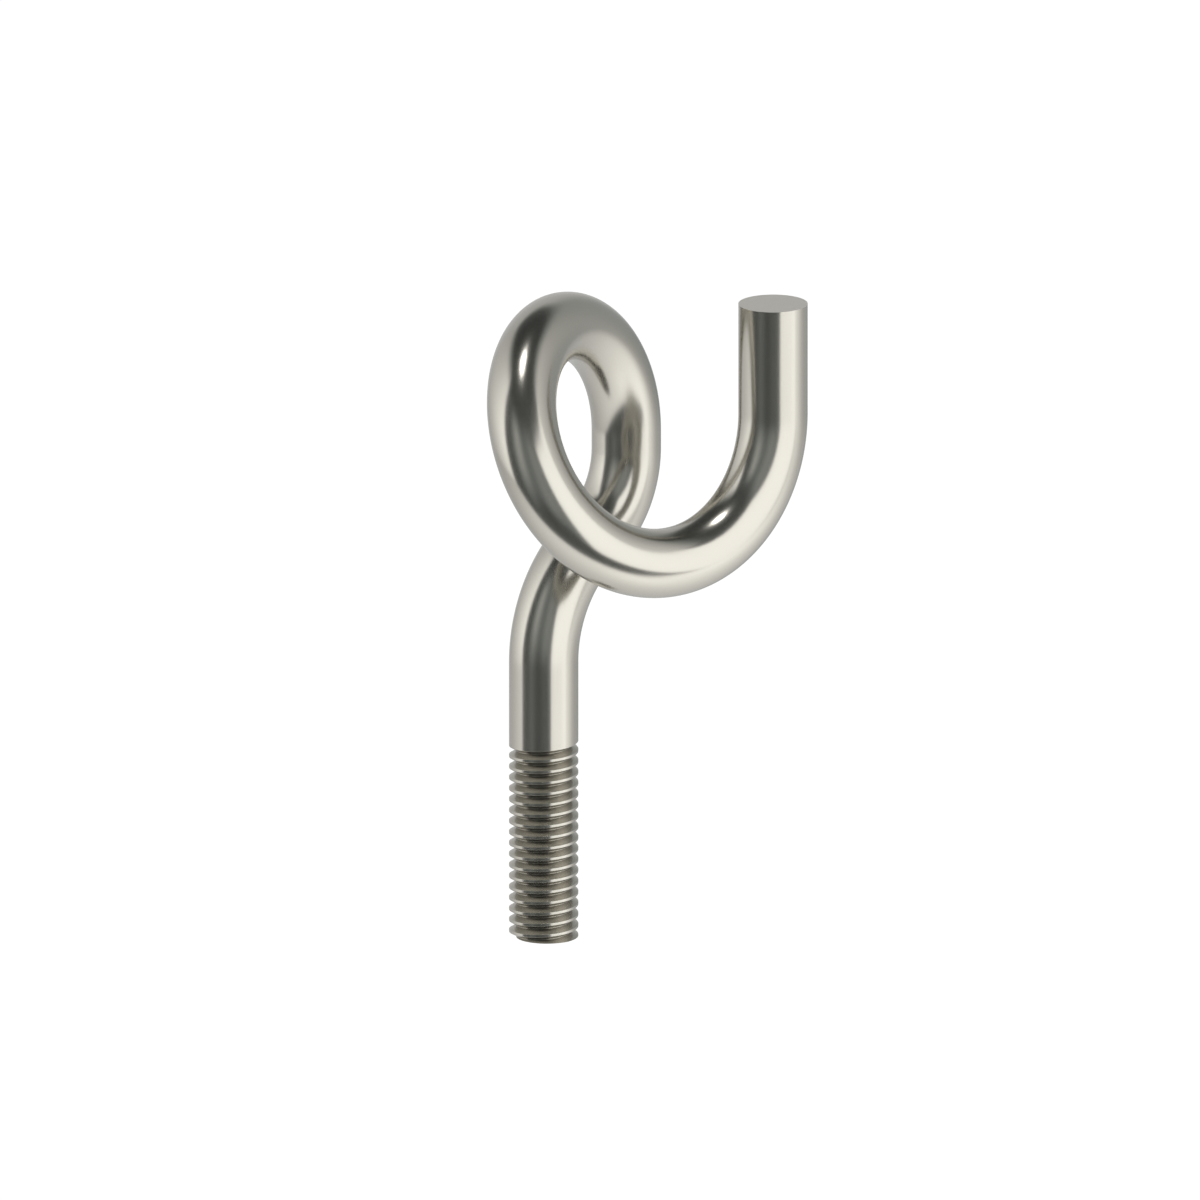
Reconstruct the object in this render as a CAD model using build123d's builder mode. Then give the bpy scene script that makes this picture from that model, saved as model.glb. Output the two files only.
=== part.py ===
from build123d import *
from math import acos, atan, atan2, cos, degrees, hypot, pi, radians, sin, sqrt, tan
import os

# Ceiling hook bent from one round steel rod. The threaded shank stands under an open coil, and the rod's
# end rises beside the coil, so that a loop or ring is wound onto the hook and can't slip off it.
# Millimetres. The origin is the centre of the threaded end, and +Z runs up the shank's axis to the coil.
# +X points from the shank to the side where the coil begins, and the coil advances toward -Y.

# Thread, an ISO metric coarse thread with flat crests
thread_diameter = 5.0
crest_allowance = 0.08  # how far the crests' diameter is under the nominal one
thread_pitch = 0.8
thread_length = 14.2
thread_start_angle = 128  # degrees from +X at which the groove leaves the flat end
flank_angle = 30  # degrees between a flank and a plane across the axis

# Shank, and the double bend that sets the coil over it
plain_length = 5.9  # smooth shank between the thread and the first bend
first_bend_radius = 8.85
slant_length = 2.13
second_bend_radius = 6.4
riser_length = 1.35

# Coil and end leg
eye_width = 12.5  # clear width inside the coil
coil_lead = 14.5  # advance along the coil's axis in its one turn
leg_length = 8.0

# Worked out from the sizes above
rod_diameter = thread_diameter - crest_allowance
shank_length = thread_length + plain_length
coil_radius = (eye_width + rod_diameter) / 2

# The two bends turn by the same angle, and together with the slant they step aside by the coil's radius,
# so that the shank's axis meets the coil's.
bends_reach = first_bend_radius + second_bend_radius
bend_angle = degrees(
    acos((bends_reach - coil_radius) / hypot(bends_reach, slant_length)) - atan2(slant_length, bends_reach)
)

# The coil's axis leans up from -Y by its lead angle, so that the rod enters and leaves the turn upright.
lead_angle = atan(coil_lead / (2 * pi * coil_radius))

# Groove of an external metric thread, from its root out past the rod's surface. The root is as deep as a
# real one and has a flat in place of the small rounding.
thread_depth = 17 / 24 * sqrt(3) / 2 * thread_pitch
root_radius = thread_diameter / 2 - thread_depth
root_width = thread_pitch / 6
# The cutter stands out of the rod by less than would let its turns run into each other.
cutter_stand_out = thread_pitch / 10
groove_reach = rod_diameter / 2 + cutter_stand_out - root_radius
groove_mouth = root_width + 2 * groove_reach * tan(radians(flank_angle))
# The groove runs out along its tangent, which clears the rod at this length.
runout_length = sqrt((rod_diameter / 2 + cutter_stand_out) ** 2 - root_radius**2)

with BuildLine(Plane.XZ) as neck:
    shank = Line((0, 0), (0, shank_length))
    first_bend = JernArc(shank @ 1, shank % 1, first_bend_radius, -bend_angle)
    slant = Line(first_bend @ 1, first_bend @ 1 + slant_length * (first_bend % 1))
    second_bend = JernArc(slant @ 1, slant % 1, second_bend_radius, bend_angle)
    riser = Line(second_bend @ 1, second_bend @ 1 + riser_length * (second_bend % 1))

coil_plane = Plane(
    origin=(0, 0, (riser @ 1).Z),
    x_dir=(1, 0, 0),
    z_dir=(0, -cos(lead_angle), sin(lead_angle)),
)
coil = coil_plane.location * Helix(coil_lead, coil_lead, coil_radius)

with BuildLine() as rod_axis:
    add(neck.line)
    add(coil)
    leg = Line(coil @ 1, coil @ 1 + leg_length * (coil % 1))

with BuildSketch() as groove_section:
    with BuildLine():
        Polyline(
            (0, -root_width / 2),
            (groove_reach, -groove_mouth / 2),
            (groove_reach, groove_mouth / 2),
            (0, root_width / 2),
            close=True,
        )
    make_face()

# The cutter starts one turn below the flat end, so that the end cuts across the last turn.
with BuildPart() as groove_cutter:
    with BuildLine():
        groove = Helix(thread_pitch, thread_length + thread_pitch, root_radius, center=(0, 0, -thread_pitch))
    with BuildSketch(Plane(origin=groove @ 0, x_dir=(1, 0, 0), z_dir=groove % 0)):
        add(groove_section.sketch)
    sweep(path=groove, is_frenet=True)
    outward_at_end = Vector((groove @ 1).X, (groove @ 1).Y, 0)
    with BuildSketch(Plane(origin=groove @ 1, x_dir=outward_at_end, z_dir=groove % 1)):
        add(groove_section.sketch)
    extrude(amount=runout_length)

with BuildPart() as ceiling_hook:
    with BuildSketch(Plane.XY):
        Circle(rod_diameter / 2)
    sweep(path=rod_axis.wire())
    add(groove_cutter.part, rotation=(0, 0, thread_start_angle), mode=Mode.SUBTRACT)

os.makedirs("parts", exist_ok=True)
ceiling_hook.part.label = "ceiling_hook"
export_step(ceiling_hook.part, "parts/ceiling_hook.step")
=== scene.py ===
import bpy
import numpy as np
from mathutils import Matrix, Vector


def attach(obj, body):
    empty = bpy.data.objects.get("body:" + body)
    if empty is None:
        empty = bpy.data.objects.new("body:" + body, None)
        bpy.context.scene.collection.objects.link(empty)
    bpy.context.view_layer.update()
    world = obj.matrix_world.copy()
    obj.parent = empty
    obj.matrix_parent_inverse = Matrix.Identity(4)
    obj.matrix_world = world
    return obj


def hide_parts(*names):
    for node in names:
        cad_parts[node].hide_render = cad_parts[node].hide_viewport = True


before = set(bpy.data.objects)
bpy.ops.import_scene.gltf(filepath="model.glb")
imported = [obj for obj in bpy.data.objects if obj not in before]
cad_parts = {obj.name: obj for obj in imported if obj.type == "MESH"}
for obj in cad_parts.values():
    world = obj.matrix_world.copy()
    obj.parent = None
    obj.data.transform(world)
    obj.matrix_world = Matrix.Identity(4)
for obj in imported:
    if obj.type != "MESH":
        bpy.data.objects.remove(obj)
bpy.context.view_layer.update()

# The hook's sizes in millimetres. They are its solid's, but for the widths of the thread's crest and root,
# which are as the photograph shows them. The meshes are worked out in millimetres too.
MM = 0.001
ROD_RADIUS = 2.46
THREAD_PITCH = 0.8
THREAD_LENGTH = 14.2
CREST_WIDTH = 0.18
ROOT_WIDTH = 0.03
GROOVE_DEPTH = (THREAD_PITCH - CREST_WIDTH - ROOT_WIDTH) / 2 * np.sqrt(3)  # with flanks 30 degrees from level
CORNER = 0.006  # of the groove's edges, which are rounded over this height on each side
GROOVE_START = np.radians(128)
THREAD_TOP = 15.0  # above the groove's run-out, where the threaded skin meets the plain one
SHANK_LENGTH = 20.1
FIRST_BEND = 8.85
SLANT = 2.13
SECOND_BEND = 6.4
RISER = 1.35
COIL_RADIUS = 8.71
COIL_LEAD = 14.5
LEG_LENGTH = 8.0
CLIMB = THREAD_PITCH / (2 * np.pi)  # the groove's rise per radian

AROUND = 96  # columns of the skin round the rod
BEND_STEPS = 32
TURN_STEPS = 180


def rod_line():
    """The rod's centre line above the thread: points, unit tangents and unit directions toward one side.

    It is a straight, an arc that turns from +Z toward +X, a straight, an arc back to +Z, a short riser, one
    turn of a helix and a straight leg. On the helix the centre goes round by COIL_RADIUS times cosine and
    sine in the plane across the coil's axis, and along that axis by COIL_LEAD times the share of the turn.
    The axis leans up from -Y by the lead angle, so that the turn starts and ends upright. The side starts
    as +X, turns with the bends, and points out from the coil's axis on the turn.
    """
    reach = FIRST_BEND + SECOND_BEND
    turn = np.arccos((reach - COIL_RADIUS) / np.hypot(reach, SLANT)) - np.arctan2(SLANT, reach)
    lean = np.arctan(COIL_LEAD / (2 * np.pi * COIL_RADIUS))
    across, upright = np.array([1.0, 0, 0]), np.array([0, 0, 1.0])
    rise = np.array([0, np.sin(lean), np.cos(lean)])
    axis = np.array([0, -np.cos(lean), np.sin(lean)])

    def straight(start, direction, side, length, steps):
        run = np.linspace(0, length, steps + 1)[:, None] * direction
        return start + run, np.broadcast_to(direction, run.shape), np.broadcast_to(side, run.shape)

    def bend(start, radius, angles, side):
        outward = np.cos(angles) - np.cos(angles[0])
        forward = np.sin(angles) - np.sin(angles[0])
        points = start + radius * side * (forward * upright - outward * across)
        ahead, beside = np.sin(angles), np.cos(angles)
        return points, ahead * across + beside * upright, beside * across - ahead * upright

    swing = np.linspace(0, turn, BEND_STEPS + 1)[:, None]
    round_ = np.linspace(0, 2 * np.pi, TURN_STEPS + 1)[:, None]
    runs = [straight(np.array([0, 0, THREAD_TOP]), upright, across, SHANK_LENGTH - THREAD_TOP, steps=10)]
    runs.append(bend(runs[-1][0][-1], FIRST_BEND, swing, 1))
    runs.append(straight(*(part[-1] for part in runs[-1]), SLANT, steps=6))
    runs.append(bend(runs[-1][0][-1], SECOND_BEND, swing[::-1], -1))
    runs.append(straight(*(part[-1] for part in runs[-1]), RISER, steps=4))
    centre = runs[-1][0][-1] - COIL_RADIUS * across
    out = np.cos(round_) * across + np.sin(round_) * rise
    pace = COIL_RADIUS * (np.cos(round_) * rise - np.sin(round_) * across) + COIL_LEAD / (2 * np.pi) * axis
    turn_line = centre + COIL_RADIUS * out + COIL_LEAD * round_ / (2 * np.pi) * axis
    runs.append((turn_line, pace / np.linalg.norm(pace[0]), out))
    runs.append(straight(*(part[-1] for part in runs[-1]), LEG_LENGTH, steps=24))
    return [np.vstack([run[part][int(run is not runs[0]):] for run in runs]) for part in range(3)]


def lesser(value, ease):
    """The smaller of the value and 0, with a parabola in place of the corner from -ease to ease."""
    return np.where(np.abs(value) < ease, -((value - ease) ** 2) / (4 * ease), np.minimum(value, 0))


def thread_radius(height, angle):
    """The threaded rod's radius at heights and angles round the axis, with angle 0 where the groove starts.

    The groove's middle climbs by one pitch a turn. From the middle outwards come half of the flat root, a
    flank 30 degrees from level and the flat crest, with the two corners rounded. Past the groove's end its
    root moves out as one over the cosine of the angle run.
    """
    nearest = np.round((height - CLIMB * angle) / THREAD_PITCH)
    off = np.abs(height - CLIMB * angle - nearest * THREAD_PITCH)
    past = np.clip(angle + 2 * np.pi * nearest - THREAD_LENGTH / CLIMB, 0, 1)
    ease = CORNER * np.sqrt(3)
    flank = -lesser((ROOT_WIDTH / 2 - off) * np.sqrt(3), ease)
    return ROD_RADIUS + lesser((ROD_RADIUS - GROOVE_DEPTH) / np.cos(past) + flank - ROD_RADIUS, ease)


def squares_round(steps, point):
    """The squares of a grid round the rod with this many steps along it, where point(row, column) gives the
    number of a point."""
    row, column = np.meshgrid(np.arange(steps), np.arange(AROUND), indexing="ij")
    corners = [(row, column), (row, column + 1), (row + 1, column + 1), (row + 1, column)]
    return np.stack([point(*corner) for corner in corners], axis=-1).reshape(-1, 4)


def hook_skin():
    """The whole rod as one closed skin: points, their places on the rod as if it were straight, triangles.

    Threaded part: rows follow the groove, each a set part of a pitch above the last, and columns are angles
    round the axis, so a row's end meets the start of the row one pitch higher. Heights stop at the flat end
    and at THREAD_TOP, and the radius comes from thread_radius. Bent part: rings of ROD_RADIUS round
    rod_line, with cosine and sine along its side and across it. Each end closes on a middle point.
    """
    angle = np.arange(AROUND) * 2 * np.pi / AROUND
    turned = angle + GROOVE_START
    # Heights of the rows in one pitch, from the groove's middle: close together over each rounded corner
    edge, top = ROOT_WIDTH / 2, (THREAD_PITCH - CREST_WIDTH) / 2
    corner = np.array([-1.7, -1, 0, 1, 1.7]) * CORNER
    half = np.concatenate([[0], edge + corner, [(edge + top) / 2], top + corner])
    steps = np.concatenate([half, [THREAD_PITCH / 2], THREAD_PITCH - half[:0:-1]])
    pitches = np.arange(-2, int(THREAD_TOP / THREAD_PITCH) + 3)  # from below the flat end to past THREAD_TOP
    rows = (pitches[:, None] * THREAD_PITCH + steps).ravel()
    height = rows[:, None] + CLIMB * angle
    lowest = np.argmax(height > 0, axis=0) - 1
    highest = np.argmax(height >= THREAD_TOP, axis=0)
    height = np.clip(height, 0, THREAD_TOP)
    radius = thread_radius(height, angle)
    thread = np.stack([radius * np.cos(turned), radius * np.sin(turned), height], axis=-1)

    def thread_point(row, column):
        row = row + len(steps) * (column // AROUND)
        column = column % AROUND
        return np.clip(row, lowest[column], highest[column]) * AROUND + column

    line, along, side = rod_line()
    other = np.cross(along, side)
    cosine, sine = np.cos(turned)[None, :, None], np.sin(turned)[None, :, None]
    bent = line[:, None] + ROD_RADIUS * (cosine * side[:, None] + sine * other[:, None])
    length = THREAD_TOP + np.concatenate([[0], np.cumsum(np.linalg.norm(np.diff(line, axis=0), axis=1))])
    straightened = np.empty(bent.shape)
    straightened[..., :2] = ROD_RADIUS * np.concatenate([cosine, sine], axis=-1)
    straightened[..., 2] = length[:, None]
    first = len(thread) * AROUND

    def bent_point(row, column):
        """The bent part starts at the thread's highest ring, and its own points there go unused."""
        column = column % AROUND
        return np.where(row == 0, highest[column] * AROUND + column, first + row * AROUND + column)

    points = np.vstack([thread.reshape(-1, 3), bent.reshape(-1, 3), [[0, 0, 0]], line[-1:]])
    end_middles = [[0, 0, 0], [0, 0, length[-1]]]
    places = np.vstack([thread.reshape(-1, 3), straightened.reshape(-1, 3), end_middles])
    squares = np.vstack([
        squares_round(len(rows) - len(steps), thread_point),
        squares_round(len(line) - 1, bent_point),
    ])
    ring = np.arange(AROUND)
    low = thread_point(np.zeros_like(ring), ring)
    high = bent_point(np.full_like(ring, len(line) - 1), ring)
    middle = np.full_like(ring, len(points) - 2)
    triangles = np.vstack([
        squares[:, [0, 1, 2]],
        squares[:, [0, 2, 3]],
        np.stack([middle, np.roll(low, -1), low], axis=-1),
        np.stack([middle + 1, high, np.roll(high, -1)], axis=-1),
    ])
    a, b, c = triangles.T
    triangles = triangles[(a != b) & (b != c) & (c != a)]
    used, triangles = np.unique(triangles, return_inverse=True)
    return points[used], places[used], triangles.reshape(-1, 3)


def mesh_object(name, points, faces):
    """A new object in the scene, with a mesh of these faces. The points are in millimetres."""
    mesh = bpy.data.meshes.new(name)
    mesh.from_pydata((points * MM).tolist(), [], faces.tolist())
    mesh.update()
    piece = bpy.data.objects.new(name, mesh)
    bpy.context.collection.objects.link(piece)
    return piece


def mark_rims(mesh, heights):
    """Marks the flat ends' rims sharp all round, also where the groove's flank meets the end at a small
    angle. The heights are the points' places along the straightened rod."""
    edges = np.empty(2 * len(mesh.edges), np.int32)
    mesh.edges.foreach_get("vertices", edges)
    marks = mesh.attributes["sharp_edge"].data
    sharp = np.empty(len(mesh.edges), bool)
    marks.foreach_get("value", sharp)
    ends = heights[edges].reshape(-1, 2)
    sharp |= (ends == 0).all(axis=1) | (ends == heights.max()).all(axis=1)
    marks.foreach_set("value", sharp)


points, places, triangles = hook_skin()
hook = mesh_object("polished_hook", points, triangles)
place = hook.data.attributes.new("straight_rod", "FLOAT_VECTOR", "POINT")
place.data.foreach_set("vector", (places * MM).astype(np.float32).ravel())
hook.data.shade_smooth()
hook.data.set_sharp_from_angle(angle=np.radians(40))
mark_rims(hook.data, places[:, 2])
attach(hook, "root")
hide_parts("ceiling_hook")


def node(tree, kind, **inputs):
    """A node of this kind, with its inputs set by name or linked where the value is a socket.

    An underscore and a number stand for the input with that number.
    """
    made = tree.nodes.new(kind)
    for name, value in inputs.items():
        socket = made.inputs[int(name[1:])] if name[0] == "_" else made.inputs[name.replace("_", " ")]
        if isinstance(value, bpy.types.NodeSocket):
            tree.links.new(value, socket)
        else:
            socket.default_value = value
    return made


def new_material(name):
    material = bpy.data.materials.new(name)
    material.use_nodes = True
    material.node_tree.nodes.clear()
    return material, material.node_tree


def math(tree, operation, first, second=0.0):
    made = node(tree, "ShaderNodeMath", _0=first, _1=second)
    made.operation = operation
    return made.outputs[0]


def ramp(tree, value, start, end, low, high):
    """low at start and high at end, and evenly between."""
    return node(tree, "ShaderNodeMapRange", Value=value, _1=start, _2=end, _3=low, _4=high).outputs[0]


def blend(tree, share, first, second):
    """The first colour, which gives way to the second by this share."""
    mixed = node(tree, "ShaderNodeMix", _0=share, _6=first, _7=second)
    mixed.data_type = "RGBA"
    return mixed.outputs[2]


# The steel's reflectances: from darker to paler on the crests and in the grooves, and on the cut ends.
# In the grooves the spread is the rolled skin's random tone; its darker end is also painted shade
# toward the root.
POLISHED = (0.459, 0.442, 0.396, 1), (0.473, 0.456, 0.409, 1)
ROLLED_TONE_AND_SHADE = (0.39, 0.373, 0.33, 1), (0.49, 0.472, 0.42, 1)
CUT = (0.68, 0.66, 0.607, 1)
ROUGHNESS = 0.185, 0.215
GROOVE_ROUGHER = 0.04
CUT_ROUGHER = 0.22
# Where the looks change, in millimetres
GROOVE_LIP = 2.455, 2.38  # distances from the axis, from polished crest to rolled groove
ROOT_SHADE_SPAN = 2.3, 2.0  # distances from the axis over which painted shade darkens the groove toward its root
GROOVE_FOOT = 0.02  # height at which the groove's look starts, clear of the flat end
CUT_SKIN = 0.004  # depth of the cut ends' look
GRAIN_DEPTH = 0.002


def satin_steel():
    """Satin polished steel, with fine grain drawn along the rod. The thread's grooves keep a duller, browner
    skin than the polished crests, and painted shade darkens them toward their root. The cut ends are paler
    and rougher. All patterns follow the rod's straightened length, so they bend with it."""
    steel, tree = new_material("satin_steel")
    place = node(tree, "ShaderNodeAttribute")
    place.attribute_name = "straight_rod"
    place = place.outputs["Vector"]

    def grain(across, along, detail):
        """Noise with this many grains to the metre across the rod and along it."""
        scaled = node(tree, "ShaderNodeMapping", Vector=place, Scale=(across, across, along)).outputs[0]
        noise = node(tree, "ShaderNodeTexNoise", Vector=scaled, Scale=1.0, Detail=detail, Roughness=0.6)
        return noise.outputs[0]

    drawn, fine, broad = grain(6500, 420, 3), grain(11000, 9000, 2), grain(260, 90, 2)
    x, y, height = node(tree, "ShaderNodeSeparateXYZ", Vector=place).outputs
    from_axis = math(tree, "ADD", math(tree, "POWER", x, 2.0), math(tree, "POWER", y, 2.0))
    from_axis = math(tree, "SQRT", from_axis)
    above_foot = math(tree, "GREATER_THAN", height, GROOVE_FOOT * MM)
    below_top = math(tree, "LESS_THAN", height, THREAD_TOP * MM)
    sunk = ramp(tree, from_axis, GROOVE_LIP[0] * MM, GROOVE_LIP[1] * MM, 0.0, 1.0)
    groove = math(tree, "MULTIPLY", sunk, math(tree, "MULTIPLY", above_foot, below_top))
    # Painted shade that darkens the groove's colour toward its root.
    root_shade = ramp(tree, from_axis, ROOT_SHADE_SPAN[0] * MM, ROOT_SHADE_SPAN[1] * MM, 0.0, 0.5)
    upper_end = math(tree, "GREATER_THAN", height, (max(places[:, 2]) - CUT_SKIN) * MM)
    cut = math(tree, "MAXIMUM", upper_end, math(tree, "LESS_THAN", height, CUT_SKIN * MM))

    # The groove's colour: the rolled skin's random tone, pushed darker toward the root by the painted shade.
    rolled_tone_and_shade = blend(tree, math(tree, "SUBTRACT", fine, root_shade), *ROLLED_TONE_AND_SHADE)
    skin = blend(tree, groove, blend(tree, broad, *POLISHED), rolled_tone_and_shade)
    colour = blend(tree, cut, skin, CUT)
    roughness = ramp(tree, math(tree, "ADD", broad, drawn), 0.6, 1.4, *ROUGHNESS)
    roughness = math(tree, "ADD", roughness, math(tree, "MULTIPLY", groove, GROOVE_ROUGHER))
    roughness = math(tree, "ADD", roughness, math(tree, "MULTIPLY", cut, CUT_ROUGHER))
    relief = math(tree, "ADD", math(tree, "MULTIPLY", drawn, 0.6), math(tree, "MULTIPLY", fine, 0.4))
    bump = node(tree, "ShaderNodeBump", Strength=0.5, Distance=GRAIN_DEPTH * MM, Height=relief).outputs[0]
    shader = node(
        tree, "ShaderNodeBsdfPrincipled", Base_Color=colour, Metallic=1.0, Roughness=roughness, Normal=bump)
    node(tree, "ShaderNodeOutputMaterial", Surface=shader.outputs[0])
    return steel


hook.data.materials.append(satin_steel())

# Camera: at the photograph's angle, 15 degrees above the hook, with parallel rays
PHOTO = 1200  # pixels across
PIXELS_PER_MM = 69.5 / 4.92  # from the rod's width
CAMERA_TURN, CAMERA_TILT = np.radians(47.82), np.radians(15)
PICTURE_MIDDLE = 3.988, 23.743  # right of the threaded end and above it in the picture, in millimetres
CAMERA_DISTANCE = 0.3  # in metres
view_right = Vector((np.cos(CAMERA_TURN), -np.sin(CAMERA_TURN), 0))
level_back = Vector((-np.sin(CAMERA_TURN), -np.cos(CAMERA_TURN), 0))
view_back = level_back * np.cos(CAMERA_TILT) + Vector((0, 0, np.sin(CAMERA_TILT)))
view_up = view_back.cross(view_right)
camera = bpy.data.objects.new("camera", bpy.data.cameras.new("camera"))
bpy.context.collection.objects.link(camera)
camera.data.type = "ORTHO"
camera.data.ortho_scale = PHOTO / PIXELS_PER_MM * MM
middle = (view_right * PICTURE_MIDDLE[0] + view_up * PICTURE_MIDDLE[1]) * MM
facing = Matrix((view_right, view_up, view_back)).transposed().to_4x4()
camera.matrix_world = Matrix.Translation(middle + view_back * CAMERA_DISTANCE) @ facing
camera.data.clip_start, camera.data.clip_end = 0.01, 4
bpy.context.scene.camera = camera

# The studio's distances are in metres.
HOOK_MIDDLE = Vector((0.002, -0.004, 0.026))
LAMP_DISTANCE = 1.5
WALL_DISTANCE = 3.0
SOFTBOX = 1.85  # how many times as bright as white a wall with a grey of 1 is


def toward(azimuth, elevation):
    """The direction at this azimuth to the right of the camera's, as seen from the hook, in degrees."""
    a, e = np.radians(azimuth), np.radians(elevation)
    return (level_back * np.cos(a) + view_right * np.sin(a)) * np.cos(e) + Vector((0, 0, np.sin(e)))


def lamp(name, azimuth, elevation, width, depth, brightness):
    """An elliptic lamp that faces the hook and fills this many degrees of its sky, as many times white.

    Its power is the brightness times pi times the ellipse's area.
    """
    made = bpy.data.objects.new(name, bpy.data.lights.new(name, "AREA"))
    bpy.context.collection.objects.link(made)
    size, size_y = (2 * LAMP_DISTANCE * np.tan(np.radians(angle / 2)) for angle in (width, depth))
    made.data.shape = "ELLIPSE"
    made.data.size, made.data.size_y = size, size_y
    made.data.energy = brightness * np.pi * (np.pi / 4 * size * size_y)
    made.rotation_mode = "QUATERNION"
    made.rotation_quaternion = toward(azimuth, elevation).to_track_quat("Z", "Y")
    made.location = HOOK_MIDDLE + toward(azimuth, elevation) * LAMP_DISTANCE


lamp("overhead_lamp", azimuth=-4, elevation=86.6, width=13, depth=16, brightness=4.0 * SOFTBOX)


def step(value, start, end):
    """0 before start and 1 past end, with a smooth rise between."""
    t = np.clip((value - start) / (end - start), 0, 1)
    return t * t * (3 - 2 * t)


def window(value, low, high, soft):
    """1 between low and high, fading to 0 over soft at each end."""
    return step(value, low - soft / 2, low + soft / 2) * (1 - step(value, high - soft / 2, high + soft / 2))


def bell(value, middle, spread):
    """1 at the middle, falling to both sides as the exponential of minus the squared distance in spreads."""
    return np.exp(-((value - middle) / spread) ** 2)


# The parts of the studio, by azimuth to the right of the camera's and elevation, in degrees as seen from the
# hook. A part gives its grey, as a share of SOFTBOX, and how far it covers what is behind it.
def right_wall(azimuth, elevation):
    """A grey wall from the right softbox to straight behind, brightest beside the softbox. Its top is highest
    on the right and slopes down to both sides."""
    behind = step(azimuth, 140, 178)
    grey = 0.25 + 0.3 * bell(azimuth, 80, 31) + 0.12 * step(azimuth, 150, 180)
    top = 60 - 0.2 * np.abs(azimuth - 105) - 6.5 * step(azimuth, 125, 178)
    return grey, (azimuth > 76) * step(top - elevation, -7 + 2 * behind, 15 - 10 * behind)


def left_wall(azimuth, elevation):
    """A lower grey wall from the left to straight behind."""
    return 0.37, (azimuth < -75) * step(38.5 - elevation, -5, 5)


def left_softbox(azimuth, elevation):
    """A wide softbox on the left, brightest at its near edge and a little above the hook. Its top curves down
    toward the back."""
    grey = np.maximum(0.99 * np.exp(-0.0142 * np.clip(-azimuth - 78, 0, 80)), 0.37)
    grey *= 1 - 0.0055 * np.clip(elevation - 18, 0, 40) - 0.007 * np.clip(5 - elevation, 0, 20)
    top = 59 - 0.0052 * np.clip(-azimuth - 90, 0, 90) ** 2
    return grey, window(azimuth, -150, -75, 4) * step(elevation, -18, -14) * step(top - elevation, -7, 11)


def front_panels(azimuth, elevation):
    """The light that dim panels round the camera add to the dark there: a faint wide one and two soft ones,
    with two brighter spots and a darker one at their foot."""
    light = 0.04 * window(azimuth, -50, 23, 8) * step(elevation, -22, 10)
    light += 0.225 * bell(azimuth, -38, 12) * step(elevation, -24, 22)
    light += 0.11 * bell(azimuth, 2, 14) * step(elevation, -18, 0)
    spots = 0.027 * bell(azimuth, -42, 7) + 0.055 * bell(azimuth, 18, 5) - 0.02 * bell(azimuth, -18, 9)
    at_foot = step(elevation, -24, -18) * (1 - step(elevation, -11, 4))
    return light * (1 - step(elevation, 33, 52)) + spots * at_foot


def right_softbox(azimuth, elevation):
    """The bright softbox on the right front. Toward the bottom its sides lean to the right and soften, and
    its top dips at the near corner."""
    drop = np.clip(5 - elevation, 0, 30)
    between = window(azimuth, 22.2 + 0.08 * drop, 77 + 0.15 * drop, 1.5 + 0.1 * drop)
    top = 42 - 3 * bell(azimuth, 24, 9)
    return 1.02, between * step(elevation, -20.5, -18) * step(top - elevation, -1.5, 1.5)


def table(azimuth, elevation):
    """A white table that starts a little in front of the hook and lies below it, paler farther out.

    Distances on it, forward to the camera and sideways to its right, are in heights of the hook above it. A
    wide pool of light and a small one lie toward the right.
    """
    depth = np.tan(np.radians(np.clip(-elevation, 0.5, 89.5)))
    forward, sideways = np.cos(np.radians(azimuth)) / depth, np.sin(np.radians(azimuth)) / depth
    grey = 0.083 + 0.104 * np.minimum(1 / depth, 2.37)
    grey += 0.741 * bell(sideways, 1.21, np.where(sideways > 1.21, 4.9, 3.13)) * bell(forward, 0.8, 1.7)
    grey += 0.08 * bell(sideways, 0.55, 0.4) * bell(forward, 0.5, 0.3)
    past_edge = step(-forward, -1.13, -0.87 + 0.2 * bell(sideways, 1, 0.5))
    raised = step(azimuth, 74, 84) - step(azimuth, 140, 178)
    return grey, past_edge * step(-elevation, 17.5 - 7 * raised, 18.5 - 3 * raised)


def studio_grey(azimuth, elevation):
    """How bright the studio is in a direction, as a share of SOFTBOX.

    It starts dark, darkest overhead and toward the back. Its parts are laid over each other, and last a soft
    shade darkens what is low behind on the right.
    """
    def covered(grey, part):
        over, share = part(azimuth, elevation)
        return grey + (over - grey) * share

    grey = 0.07 - 0.02 * step(elevation, 45, 60) - 0.015 * step(np.abs(azimuth), 90, 130)
    grey = covered(grey, right_wall)
    grey = covered(grey, left_wall)
    grey = covered(grey, left_softbox)
    grey = grey + front_panels(azimuth, elevation)
    grey = covered(grey, right_softbox)
    grey = covered(grey, table)
    shade = window(azimuth, 148, 168, 22) * step(-elevation, -4, 8) * (1 - step(-elevation, 30, 44))
    return grey - 0.07 * shade


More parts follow.
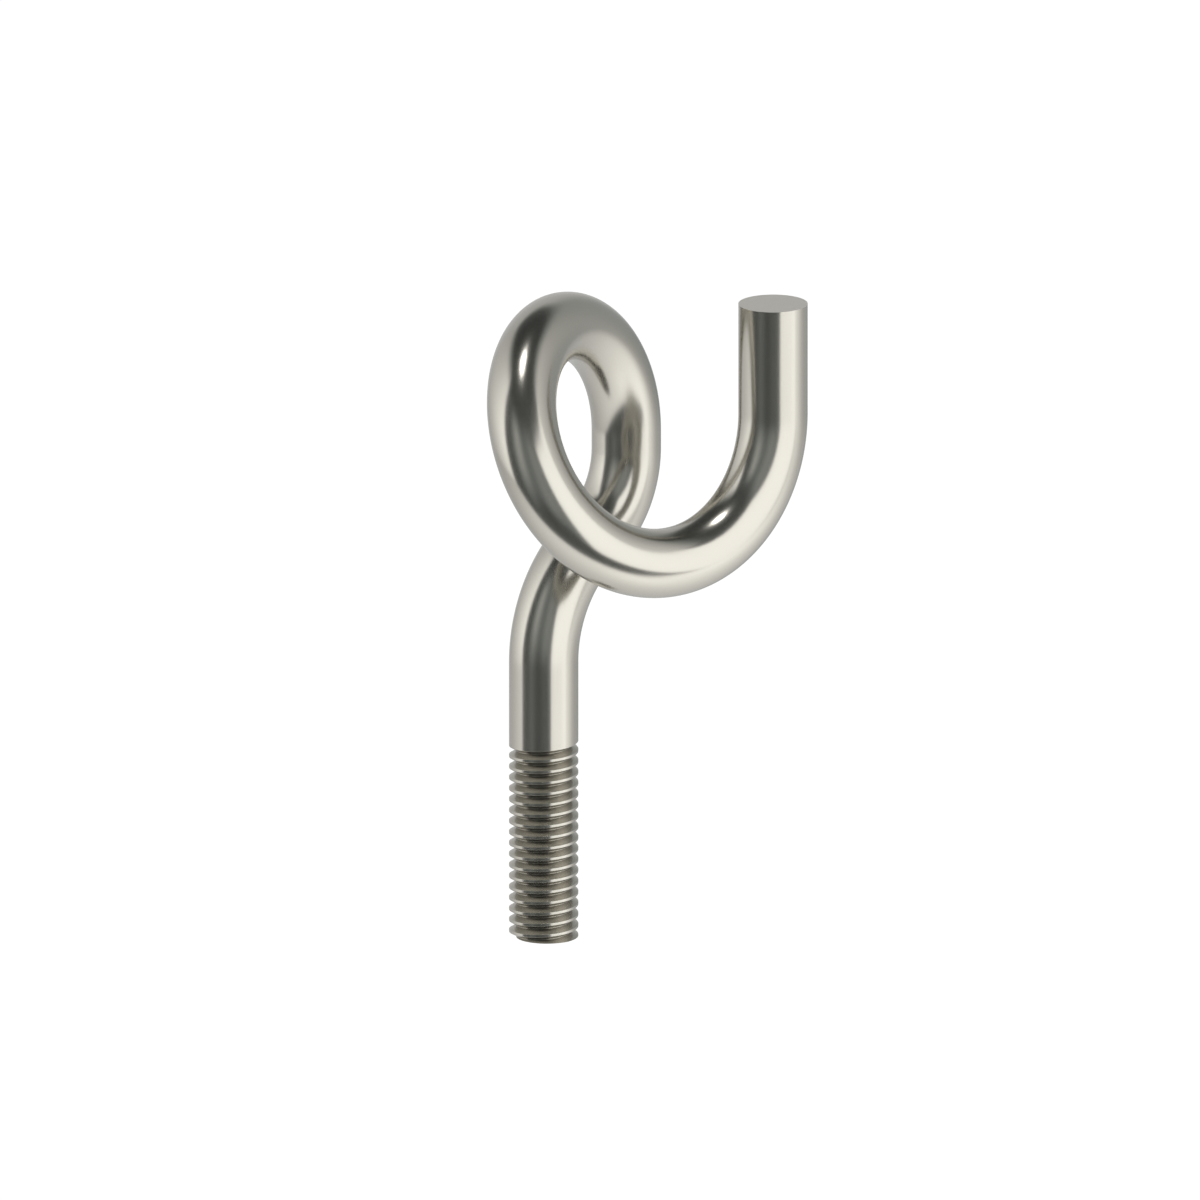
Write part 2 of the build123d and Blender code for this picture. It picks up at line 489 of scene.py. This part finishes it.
def studio_walls(columns=240, rows=120):
    """A ball of walls round the hook, on a grid of azimuth and elevation, with its greys as an attribute.

    The darker a wall is, the less red its paint has.
    """
    azimuth, elevation = np.meshgrid(np.linspace(-180, 180, columns + 1), np.linspace(-90, 90, rows + 1))
    a, e = np.radians(azimuth)[..., None], np.radians(elevation)[..., None]
    level = np.cos(a) * np.array(level_back) + np.sin(a) * np.array(view_right)
    points = np.array(HOOK_MIDDLE) + WALL_DISTANCE * (np.cos(e) * level + np.sin(e) * np.array([0, 0, 1.0]))
    index = np.arange(points.shape[0] * points.shape[1]).reshape(points.shape[:2])
    faces = np.stack([index[:-1, :-1], index[1:, :-1], index[1:, 1:], index[:-1, 1:]], axis=-1).reshape(-1, 4)
    walls = mesh_object("studio_walls", points.reshape(-1, 3) / MM, faces)
    grey = studio_grey(azimuth, elevation)
    red = grey * (1 - 0.065 * step(-grey, -0.4, -0.15))
    paint = np.stack([red, grey, grey, np.ones_like(grey)], axis=-1)
    greys = walls.data.attributes.new("greys", "FLOAT_COLOR", "POINT")
    greys.data.foreach_set("color", paint.astype(np.float32).ravel())
    material, tree = new_material("wall_grey")
    read = node(tree, "ShaderNodeAttribute")
    read.attribute_name = "greys"
    light = node(tree, "ShaderNodeEmission", Color=read.outputs["Color"], Strength=SOFTBOX)
    node(tree, "ShaderNodeOutputMaterial", Surface=light.outputs[0])
    material.cycles.emission_sampling = "NONE"
    walls.data.materials.append(material)
    # Only the hook's reflections see the walls.
    walls.visible_camera = False
    walls.visible_shadow = False
    walls.visible_diffuse = False


studio_walls()

WHITE = (1, 1, 1, 1)
WORLD_LIGHT = 0.6  # the plain grey that lights the floor
FLOOR_HALF = 400.0  # half the floor's width, in millimetres
FLOOR_HEIGHT = -25.0
FLOOR_PAINT = (0.8, 0.8, 0.8, 1)
FLOOR_GLOW = 0.48  # added to the floor where it is seen, so that it comes out white


def seen_directly(tree):
    """1 for camera, glossy and transmission rays, and 0 for the rest."""
    path = node(tree, "ShaderNodeLightPath").outputs
    seen = math(tree, "MAXIMUM", path["Is Camera Ray"], path["Is Glossy Ray"])
    return math(tree, "MAXIMUM", seen, path["Is Transmission Ray"])


def white_world():
    """White where it is seen, and plain grey as light."""
    world = bpy.data.worlds.new("studio")
    bpy.context.scene.world = world
    world.use_nodes = True
    tree = world.node_tree
    tree.nodes.clear()
    white = node(tree, "ShaderNodeBackground", Color=WHITE, Strength=1.0).outputs[0]
    plain = node(tree, "ShaderNodeBackground", Color=WHITE, Strength=WORLD_LIGHT).outputs[0]
    mix = node(tree, "ShaderNodeMixShader", Fac=seen_directly(tree), _1=plain, _2=white)
    node(tree, "ShaderNodeOutputWorld", Surface=mix.outputs[0])


def white_floor():
    """White where it is seen, but keeps the hook's shadow. From below it is clear, so that the hook shows."""
    corners = np.array([[-1, -1, 0], [1, -1, 0], [1, 1, 0], [-1, 1, 0]]) * FLOOR_HALF + [0, 0, FLOOR_HEIGHT]
    floor = mesh_object("floor", corners, np.array([[0, 1, 2, 3]]))
    material, tree = new_material("white_floor")
    matte = node(tree, "ShaderNodeBsdfDiffuse", Color=FLOOR_PAINT).outputs[0]
    lift = math(tree, "MULTIPLY", seen_directly(tree), FLOOR_GLOW)
    glow = node(tree, "ShaderNodeEmission", Color=WHITE, Strength=lift).outputs[0]
    both = node(tree, "ShaderNodeAddShader", _0=matte, _1=glow).outputs[0]
    from_below = node(tree, "ShaderNodeNewGeometry").outputs["Backfacing"]
    clear = node(tree, "ShaderNodeBsdfTransparent").outputs[0]
    mix = node(tree, "ShaderNodeMixShader", Fac=from_below, _1=both, _2=clear)
    node(tree, "ShaderNodeOutputMaterial", Surface=mix.outputs[0])
    floor.data.materials.append(material)
    floor.visible_glossy = False


white_world()
white_floor()

bpy.context.scene.view_settings.view_transform = "Standard"
